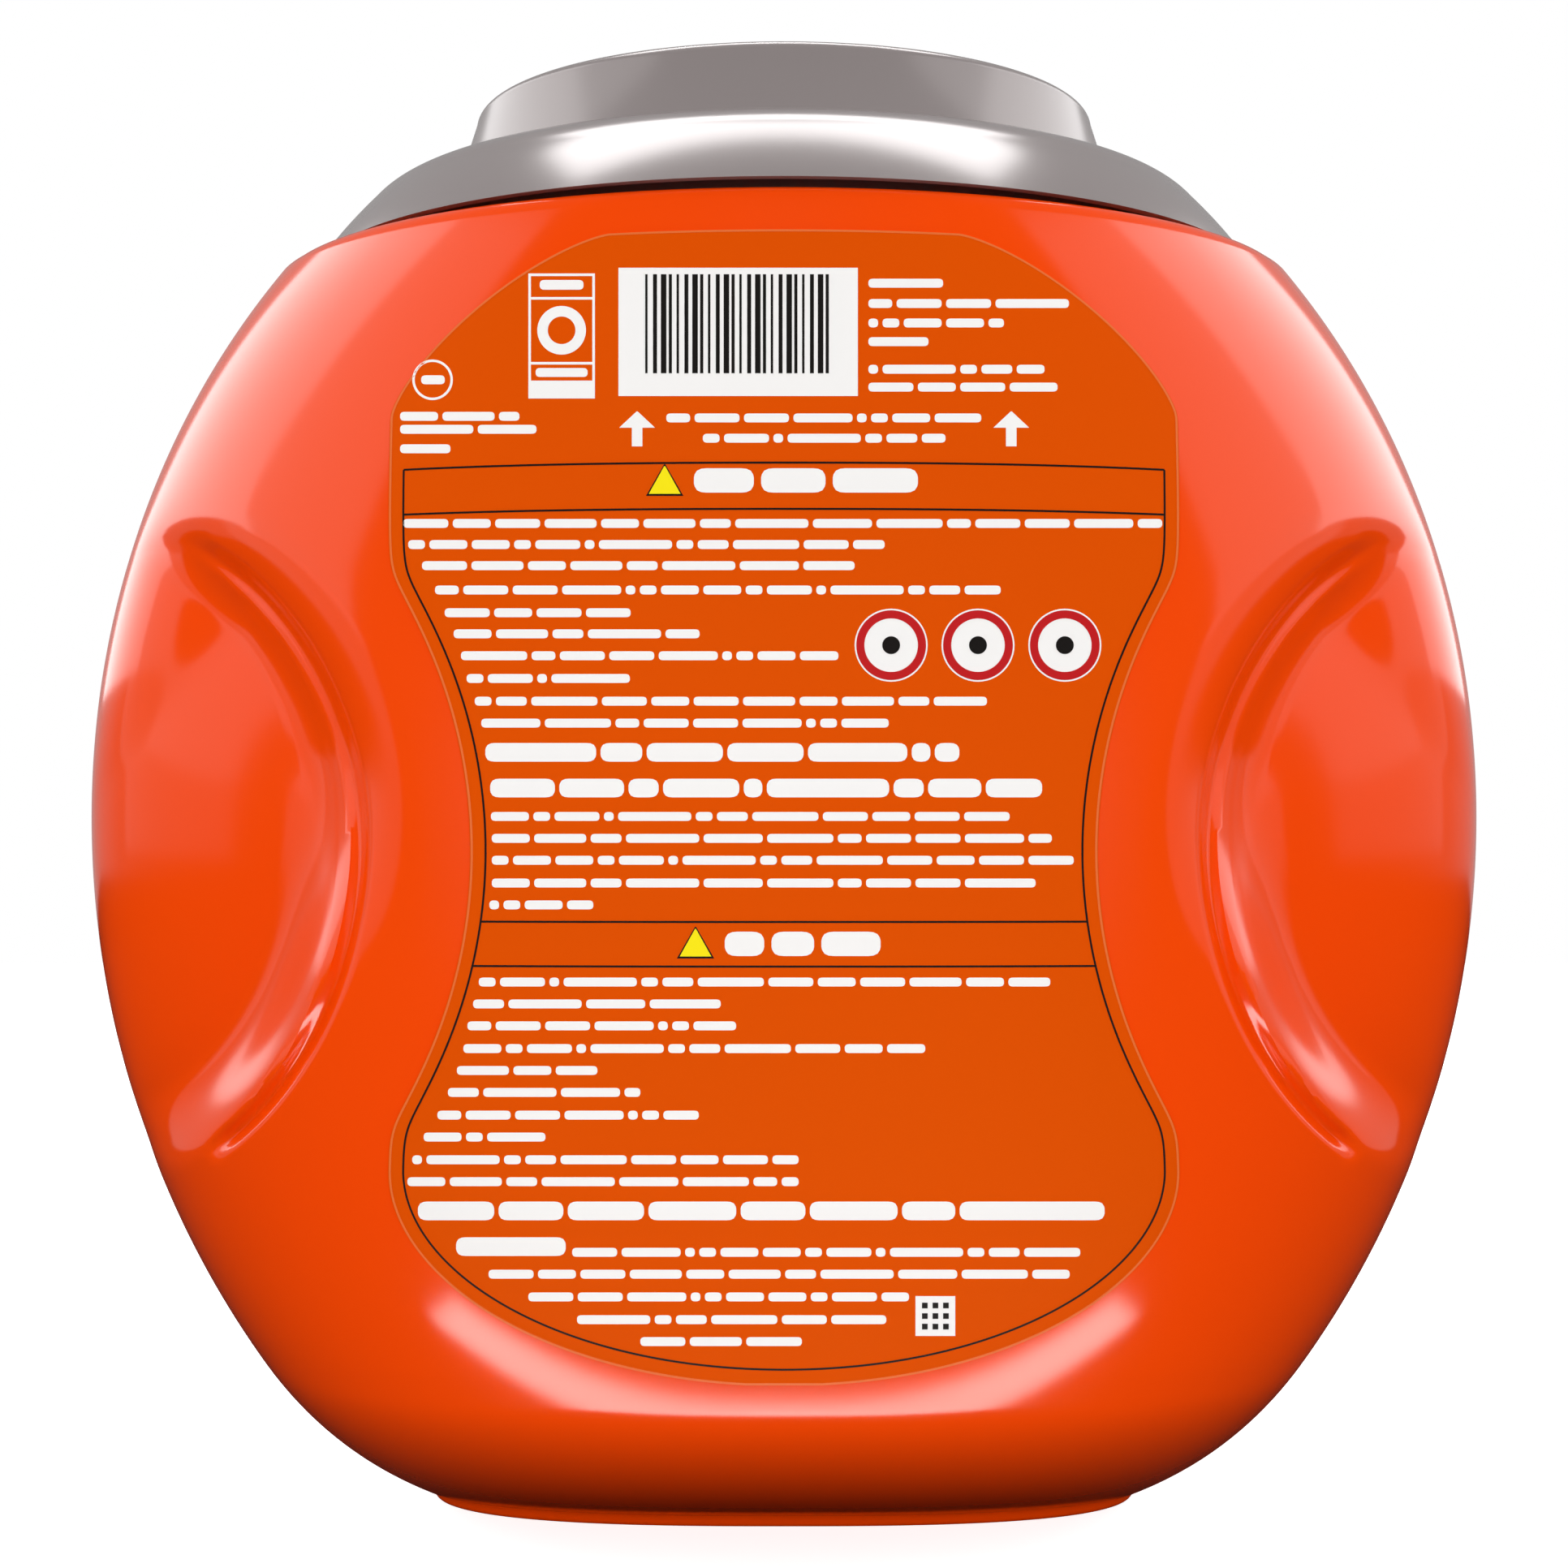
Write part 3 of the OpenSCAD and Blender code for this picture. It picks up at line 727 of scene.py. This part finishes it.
def faceStrip(ink, x, z, width):
    # a strip along a path that is already on the face
    dx, dz = np.gradient(x), np.gradient(z)
    size = np.hypot(dx, dz)
    side = np.array([0.5, -0.5])[:, None] * width
    ink.add(*facePatch(x - side * dz / size, z + side * dx / size, inkLow, label["ink"]))


def makeFrameLines():
    inset = frameLine["inset"]
    hip = label["hipZ"]
    sideZ = np.linspace(levelAt(header["lines"][0]), hip, frameLine["sideCols"])
    a = np.linspace(0, np.pi / 2, frameLine["cols"])[1:]
    x = np.concatenate([outlineAt(sideZ, inset), outlineAt(hip, inset) * np.cos(a)])
    z = np.concatenate([sideZ, hip - (hip - label["low"] - inset) * np.sin(a)])
    x = np.concatenate([x, -x[-2::-1]])
    z = np.concatenate([z, z[-2::-1]])
    faceStrip(blackInk, x, z, frameLine["width"])
    for y in header["lines"]:
        level = levelAt(y)
        reach = outlineAt(level, inset)
        x = np.linspace(-reach, reach, frameLine["cols"])
        faceStrip(blackInk, x, np.full(frameLine["cols"], level), frameLine["width"])


makeFrameLines()

# Smaller signs in pixels: boxes are left, right, upper and lower ends; rings have middle and radii
panel = {
    "box": (762, 1057, 330, 488),
    "bars": (795, 1027, 338, 460),
    "count": 24,
    "shares": (0.3, 0.5, 0.7, 0.4),  # a bar's width as a share of the pitch
}
badge = {
    "box": (651, 733, 337, 491),
    "line": 3.2,
    "fill": 469,
    "levels": (366, 446),
    "bars": ((665, 719, 351, 12), (660, 724, 459, 11)),
    "ring": (692, 407, 17, 30),
}
roundSign = {"ring": (533, 468, 22, 25), "bar": (519, 548, 468, 11)}
arrows = {"middles": (785, 1246), "neck": 527, "low": 550, "half": 22, "height": 20, "stem": 6.5}
redRings = {"middles": (1098, 1205, 1312), "level": 795, "plate": 45, "ring": (33, 43), "dot": 11}
triangles = {
    "places": ((819, 610), (857, 1180)),
    "black": (1, 23, 39),  # how far below its place, half width, height
    "yellow": (-1.5, 19.5, 34),
}
dots = {"box": (1128, 1177, 1597, 1646), "first": (1136, 1605), "pitch": 13, "size": 7, "side": 3}


def makePanel():
    whiteInk.box(*panel["box"])
    x0, x1, y0, y1 = panel["bars"]
    pitch = (x1 - x0) / panel["count"]
    for k in range(panel["count"]):
        wide = pitch * panel["shares"][k % len(panel["shares"])]
        blackInk.box(x0 + k * pitch, x0 + k * pitch + wide, y0, y1, layer=1)


def makeBadge():
    x0, x1, y0, y1 = badge["box"]
    line, fill = badge["line"], badge["fill"]
    whiteInk.box(x0, x1, fill, y1)
    whiteInk.box(x0, x1, y0, y0 + line)
    whiteInk.box(x0, x0 + line, y0 + line, fill)
    whiteInk.box(x1 - line, x1, y0 + line, fill)
    for y in badge["levels"]:
        whiteInk.box(x0 + line, x1 - line, y, y + line)
    for bar in badge["bars"]:
        whiteInk.bar(*bar)
    whiteInk.ring(*badge["ring"])


def makeSigns():
    whiteInk.ring(*roundSign["ring"])
    whiteInk.bar(*roundSign["bar"])
    for middle in arrows["middles"]:
        whiteInk.triangle(middle, arrows["neck"], arrows["half"], arrows["height"])
        whiteInk.box(middle - arrows["stem"], middle + arrows["stem"], arrows["neck"], arrows["low"])
    for middle in redRings["middles"]:
        whiteInk.disc(middle, redRings["level"], redRings["plate"])
        redInk.ring(middle, redRings["level"], *redRings["ring"], layer=1)
        blackInk.disc(middle, redRings["level"], redRings["dot"], layer=1)
    for middle, base in triangles["places"]:
        for layer, (ink, name) in enumerate(((blackInk, "black"), (yellowInk, "yellow"))):
            down, half, height = triangles[name]
            ink.triangle(middle, base + down, half, height, layer=layer)
    whiteInk.box(*dots["box"])
    for k in range(dots["side"] ** 2):
        x = dots["first"][0] + dots["pitch"] * (k % dots["side"])
        y = dots["first"][1] + dots["pitch"] * (k // dots["side"])
        blackInk.box(x, x + dots["size"], y, y + dots["size"], layer=1)


makePanel()
makeBadge()
makeSigns()

margin = {
    "inset": 0.3 * mm,
    "width": 0.35 * mm,
    "firstTurn": 0.06,
    "sideCols": 260,
    "bottomCols": 12,
    "topCols": 30,
}


def makeLabelEdge():
    # the film's clear margin, a light line round the whole label
    a = np.linspace(margin["firstTurn"], np.pi, margin["sideCols"])
    reach = label["top"] - label["low"]
    z = label["low"] + reach * (1 - np.cos(a)) / 2
    x = outlineAt(z, margin["inset"])
    bottom = np.linspace(-x[0], x[0], margin["bottomCols"])[:-1]
    top = np.linspace(x[-1], -x[-1], margin["topCols"])[1:-1]
    pathX = np.concatenate([bottom, x, top, -x[::-1]])
    pathZ = np.concatenate([np.full(len(bottom), z[0]), z, np.full(len(top), z[-1]), z[::-1]])
    edge = Ink("labelEdge", "labelEdge")
    faceStrip(edge, pathX, pathZ, margin["width"])
    edge.finish()


makeLabelEdge()
for ink in (whiteInk, blackInk, redInk, yellowInk):
    ink.finish()
print("print made")

# Lid shell: a revolved profile with the disc, the dome, the holding ring, and drive ribs
lid = {
    "low": 229.2 * mm,
    "radius": 88.4 * mm,
    "wall": 1.6 * mm,
    "shoulderRadius": 76.4 * mm,
    "shoulderZ": 243.4 * mm,
    "shoulderRound": 4 * mm,
    "skirtBulge": 0.3 * mm,
    "domeTop": 246.7 * mm,
    "discFootRadius": 62 * mm,
    "discFootRound": 0.9 * mm,
    "discTopRadius": 58.4 * mm,
    "discTop": 260 * mm,
    "discRound": 2 * mm,
    "ringIn": 75.4 * mm,
    "ringWall": 1.3 * mm,
    "ringTop": 242 * mm,
    "beadIn": 74.4 * mm,
    "beadHeight": 0.8 * mm,
    "ribs": 18,
    "ribWidth": 3 * mm,
    "ribLow": 241.35 * mm,
    "ribIn": 63.6 * mm,
    "ribOut": 69.4 * mm,
    "skirtRows": 13,
    "shoulderRows": 20,
    "topRows": 7,
    "footRows": 7,
    "rimRows": 10,
    "rimInRows": 5,
    "crownRows": 8,
    "cols": 256,
}


def bendPoints(start, corner, end, reach, count):
    # a parabola round a corner, from reach before it to reach after it
    start, corner, end = (np.asarray(p, float) for p in (start, corner, end))
    low = corner + (start - corner) * reach / np.hypot(*(start - corner))
    high = corner + (end - corner) * reach / np.hypot(*(end - corner))
    t = np.linspace(0, 1, count)[:, None]
    return (1 - t) ** 2 * low + 2 * t * (1 - t) * corner + t ** 2 * high


def domeLine():
    # steep skirt, rounded shoulder, shallow top
    rim = (lid["radius"], lid["low"])
    corner = (lid["shoulderRadius"], lid["shoulderZ"])
    foot = (lid["discFootRadius"], lid["domeTop"])
    bend = bendPoints(rim, corner, foot, lid["shoulderRound"], lid["shoulderRows"])
    t = np.linspace(0, 1, lid["skirtRows"] + 1)[:-1, None]
    across = np.array([rim[1] - bend[0, 1], bend[0, 0] - rim[0]]) / np.hypot(*(bend[0] - rim))
    skirt = rim + t * (bend[0] - rim) - 4 * t * (1 - t) * lid["skirtBulge"] * across
    top = np.linspace(bend[-1], foot, lid["topRows"] + 1)[1:]
    return np.concatenate([skirt, bend, top])


def domeHeight(radius):
    line = domeLine()
    return np.interp(radius, line[::-1, 0], line[::-1, 1])


def arcPoints(middle, radius, fromDeg, toDeg, count):
    a = np.radians(np.linspace(fromDeg, toDeg, count))
    return np.stack([middle[0] + radius * np.cos(a), middle[1] + radius * np.sin(a)], axis=-1)


def lidProfile():
    # up the outside from the rim to the middle, and the inside a wall below it, square to it
    line = domeLine()
    slope = np.gradient(line, axis=0)
    slope /= np.hypot(slope[:, 0], slope[:, 1])[:, None]
    inner = line - np.stack([slope[:, 1], -slope[:, 0]], axis=-1) * lid["wall"]
    edge = np.interp(lid["low"], inner[:, 1], inner[:, 0])
    inner = np.concatenate([[[edge, lid["low"]]], inner[inner[:, 1] > lid["low"] + 0.05 * mm]])
    discFoot = (lid["discFootRadius"], lid["domeTop"])
    wallTop = (lid["discTopRadius"], lid["discTop"] - lid["discRound"])
    rimMiddle = (wallTop[0] - lid["discRound"], wallTop[1])
    foot = bendPoints(line[-2], discFoot, wallTop, lid["discFootRound"], lid["footRows"])
    rim = arcPoints(rimMiddle, lid["discRound"], 0, 90, lid["rimRows"])
    rimIn = arcPoints(rimMiddle, lid["discRound"] - lid["wall"], 0, 90, lid["rimInRows"])
    crown = np.linspace(0.9, 0.02, lid["crownRows"])[:, None] * [rimMiddle[0], 0] + [0, lid["discTop"]]
    crownIn = crown - [0, lid["wall"]]
    outside = np.concatenate([line[:-1], foot, rim, crown])
    inside = np.concatenate([inner, [[discFoot[0] - lid["wall"], discFoot[1]]], rimIn, crownIn])
    return outside, inside


def makeLidShell():
    outside, inside = lidProfile()
    profile = np.concatenate([inside[::-1], outside])
    rings = revolve(profile, lid["cols"])
    verts, faces = closedLoft(rings)
    ringRows = [
        (lid["beadIn"], lid["low"]),
        (lid["ringIn"] + lid["ringWall"], lid["low"]),
        (lid["ringIn"] + lid["ringWall"], lid["ringTop"]),
        (lid["ringIn"], lid["ringTop"]),
        (lid["ringIn"], lid["low"] + lid["beadHeight"]),
        (lid["beadIn"], lid["low"] + lid["beadHeight"]),
    ]
    ringVerts = revolve(ringRows + ringRows[:1], lid["cols"])[:-1]
    cols = lid["cols"]
    rows = len(ringRows)
    ringQuads = gridFaces(rows + 1, cols, True) % (rows * cols)
    allVerts = [verts, ringVerts.reshape(-1, 3)]
    allFaces = [list(f) for f in faces] + (ringQuads + len(verts)).tolist()
    count = len(verts) + rows * cols
    for k in range(lid["ribs"]):
        corners = np.array([[r, s * lid["ribWidth"] / 2, h]
                            for s in (-1, 1)
                            for r, h in ((lid["ribIn"], lid["ribLow"]), (lid["ribOut"], lid["ribLow"]),
                                         (lid["ribOut"], domeHeight(lid["ribOut"]) - lid["wall"] / 2),
                                         (lid["ribIn"], domeHeight(lid["ribIn"]) - lid["wall"] / 2))])
        a = 2 * np.pi * (k + 0.5) / lid["ribs"]
        turn = np.array([[np.cos(a), np.sin(a), 0], [-np.sin(a), np.cos(a), 0], [0, 0, 1]])
        allVerts.append(corners @ turn)
        box = [[0, 1, 2, 3], [7, 6, 5, 4], [4, 5, 1, 0], [5, 6, 2, 1], [6, 7, 3, 2], [7, 4, 0, 3]]
        allFaces += [[count + i for i in f] for f in box]
        count += 8
    piece = makeMesh("lidShellSkin", np.concatenate(allVerts), allFaces, materials["silverLid"],
                     "shell_body")
    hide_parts("lid_shell")


makeLidShell()
print("lid shell made")


def dressNode(node, material):
    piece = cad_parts[node]
    piece.data.materials.clear()
    piece.data.materials.append(materials[material])


dressNode("inner_cap", "innerPlastic")
dressNode("seal_ring", "sealFoam")


# Studio: a white background and floor that reflections see darker, and lamps all round
studio = {
    "worldLevel": 0.5,
    "mirrorFront": 0.01,
    "mirrorBack": 0.45,
    "mirrorSpan": (-0.6, 0.5),  # from front to back, as the Y of a direction
    "floorShade": 0.25,
    "floorRoughness": 0.9,
    "floorGlow": 0.8,
    "floorMirror": 0.02,
    "floorRadius": 3.0,
}


def makeFloor():
    mesh = bpy.data.meshes.new("floor")
    r = studio["floorRadius"]
    mesh.from_pydata([(-r, -r, 0), (r, -r, 0), (r, r, 0), (-r, r, 0)], [], [(0, 1, 2, 3)])
    floor = bpy.data.objects.new("floor", mesh)
    bpy.context.collection.objects.link(floor)
    material = bpy.data.materials.new("paleFloor")
    material.use_nodes = True
    tree = material.node_tree
    shader = tree.nodes["Principled BSDF"]
    shader.inputs["Base Color"].default_value = (studio["floorShade"],) * 3 + (1,)
    shader.inputs["Roughness"].default_value = studio["floorRoughness"]
    shader.inputs["Specular IOR Level"].default_value = 0.0
    white = newNode(tree, "ShaderNodeBsdfDiffuse")
    white.inputs["Color"].default_value = (1, 1, 1, 1)
    glow = newNode(tree, "ShaderNodeEmission")
    glow.inputs["Strength"].default_value = studio["floorGlow"]
    bright = newNode(tree, "ShaderNodeAddShader")
    ray = newNode(tree, "ShaderNodeLightPath")
    dark = newNode(tree, "ShaderNodeBsdfDiffuse")
    dark.inputs["Color"].default_value = (studio["floorMirror"],) * 3 + (1,)
    shiny = newNode(tree, "ShaderNodeMixShader")
    mix = newNode(tree, "ShaderNodeMixShader")
    link = tree.links.new
    link(white.outputs[0], bright.inputs[0])
    link(glow.outputs[0], bright.inputs[1])
    link(ray.outputs["Is Camera Ray"], mix.inputs["Fac"])
    link(ray.outputs["Is Glossy Ray"], shiny.inputs["Fac"])
    link(shader.outputs[0], shiny.inputs[1])
    link(dark.outputs[0], shiny.inputs[2])
    link(shiny.outputs[0], mix.inputs[1])
    link(bright.outputs[0], mix.inputs[2])
    link(mix.outputs[0], tree.nodes["Material Output"].inputs["Surface"])
    mesh.materials.append(material)


def makeWorld():
    world = bpy.data.worlds.new("studio")
    bpy.context.scene.world = world
    world.use_nodes = True
    tree = world.node_tree
    link = tree.links.new
    out = tree.nodes["World Output"]
    plain = tree.nodes["Background"]
    plain.inputs["Color"].default_value = (1, 1, 1, 1)
    plain.inputs["Strength"].default_value = studio["worldLevel"]
    seen = newNode(tree, "ShaderNodeBackground")
    seen.inputs["Color"].default_value = (1, 1, 1, 1)
    mirror = newNode(tree, "ShaderNodeBackground")
    place = newNode(tree, "ShaderNodeTexCoord")
    axes = newNode(tree, "ShaderNodeSeparateXYZ")
    ramp = newNode(tree, "ShaderNodeMapRange")
    ramp.inputs["From Min"].default_value = studio["mirrorSpan"][0]
    ramp.inputs["From Max"].default_value = studio["mirrorSpan"][1]
    ramp.inputs["To Min"].default_value = studio["mirrorFront"]
    ramp.inputs["To Max"].default_value = studio["mirrorBack"]
    link(place.outputs["Generated"], axes.inputs[0])
    link(axes.outputs["Y"], ramp.inputs["Value"])
    link(ramp.outputs[0], mirror.inputs["Strength"])
    ray = newNode(tree, "ShaderNodeLightPath")
    shiny = newNode(tree, "ShaderNodeMath", operation="MAXIMUM")
    link(ray.outputs["Is Glossy Ray"], shiny.inputs[0])
    link(ray.outputs["Is Transmission Ray"], shiny.inputs[1])
    mixShiny = newNode(tree, "ShaderNodeMixShader")
    mixSeen = newNode(tree, "ShaderNodeMixShader")
    link(shiny.outputs[0], mixShiny.inputs["Fac"])
    link(plain.outputs[0], mixShiny.inputs[1])
    link(mirror.outputs[0], mixShiny.inputs[2])
    link(ray.outputs["Is Camera Ray"], mixSeen.inputs["Fac"])
    link(mixShiny.outputs[0], mixSeen.inputs[1])
    link(seen.outputs[0], mixSeen.inputs[2])
    link(mixSeen.outputs[0], out.inputs["Surface"])


# Each lamp's level is its brightness as a surface; seen names the only rays that meet it
lamps = {
    "roof": {"at": (0, 0.245, 1.25), "size": (1.04, 0.37), "level": 8, "seen": "glossy",
             "toward": (0, 0.245, 0)},
    "frontFill": {"at": (0, -1.6, 0.31), "size": (1.6, 0.58), "level": 4.25, "seen": "diffuse",
                  "toward": (0, 0, 0.13)},
    "keelStrip": {"at": (0, -0.158, 0.004), "size": (0.25, 0.028), "level": 10, "seen": "glossy",
                  "toward": (0, -0.158, 1)},
    "keelGlow": {"at": (0, -0.19, 0.004), "size": (0.26, 0.12), "level": 0.8, "seen": "diffuse",
                 "toward": (0, -0.19, 1)},
}
sideLamps = {  # one on each side, facing the middle plane
    "Wall": {"at": (1.0, 0.65, 0.76), "size": (1.5, 0.9), "level": 2.2},
    "Front": {"at": (1.0, -0.47, 0.76), "size": (0.74, 0.9), "level": 0.95},
    "Skirt": {"at": (1.0, -0.37, 0.215), "size": (0.94, 0.19), "level": 0.45, "seen": "glossy"},
}


def makeLamp(name, lamp):
    data = bpy.data.lights.new(name, "AREA")
    data.shape = "RECTANGLE"
    data.size, data.size_y = lamp["size"]
    data.energy = lamp["level"] * np.pi * lamp["size"][0] * lamp["size"][1]
    piece = bpy.data.objects.new(name, data)
    piece.location = lamp["at"]
    aim = Vector(lamp["toward"]) - Vector(lamp["at"])
    piece.rotation_euler = aim.to_track_quat("-Z", "Y").to_euler()
    piece.visible_camera = False
    piece.visible_diffuse = lamp.get("seen") != "glossy"
    piece.visible_glossy = lamp.get("seen") != "diffuse"
    bpy.context.collection.objects.link(piece)


makeFloor()
makeWorld()
for name, lamp in sideLamps.items():
    x, y, z = lamp["at"]
    makeLamp("left" + name, {**lamp, "at": (-x, y, z), "toward": (0, y, z)})
    makeLamp("right" + name, {**lamp, "toward": (0, y, z)})
for name, lamp in lamps.items():
    makeLamp(name, lamp)
print("studio made")
